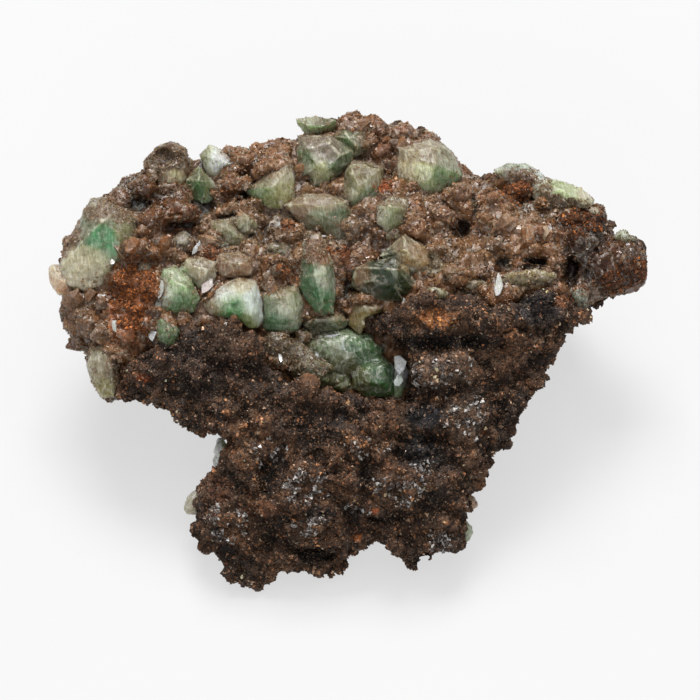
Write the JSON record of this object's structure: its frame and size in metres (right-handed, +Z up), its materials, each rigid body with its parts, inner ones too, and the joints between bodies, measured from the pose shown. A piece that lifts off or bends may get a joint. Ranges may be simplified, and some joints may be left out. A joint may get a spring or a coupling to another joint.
{
  "type": "adamite specimen",
  "caption": "Hand specimen of green adamite crystals on a brown druse that coats dark granular limonite, resting on its flat underside.",
  "frame": {"origin": "on the surface that the specimen stands on, under the middle of its bounding box", "axes": "+X along the specimen's length, to the right of its druse; +Y to its back, away from the broken dark face; +Z up"},
  "size_m": [0.0604, 0.045, 0.025],
  "materials": {
    "limonite": "matt granular dark brown rock with small glints",
    "druse": "sugary brown crystals, half matt, some translucent",
    "adamite": "translucent green crystal with pale frosted faces",
    "frosted": "frosted pinkish to brown translucent crystal"
  },
  "bodies": {
    "root": {"limonite_matrix": "limonite", "brown_druse_crust": "druse", "great_left_crystal": "adamite", "pink_tip_crystal": "frosted", "lower_left_crystal": "adamite", "top_left_crystal": "adamite", "deep_green_crystals": "adamite", "ridge_crystal": "adamite", "top_wedge_crystal": "adamite", "upper_twin_crystals": "adamite", "anvil_crystals": "adamite", "upper_right_crystal": "adamite", "olive_crystal": "adamite", "central_blade_crystal": "adamite", "pocket_edge_crystal": "adamite", "white_faced_crystal": "adamite", "frosted_pair_crystals": "adamite", "brown_frosted_crystal": "frosted", "feathered_crystal": "frosted", "taupe_twin_crystals": "adamite", "yellow_olive_crystal": "adamite", "pocket_shade_crystal": "adamite", "pocket_green_crystals": "adamite", "glassy_corner_crystal": "adamite", "right_rim_crystals": "adamite"}
  },
  "joints": []
}
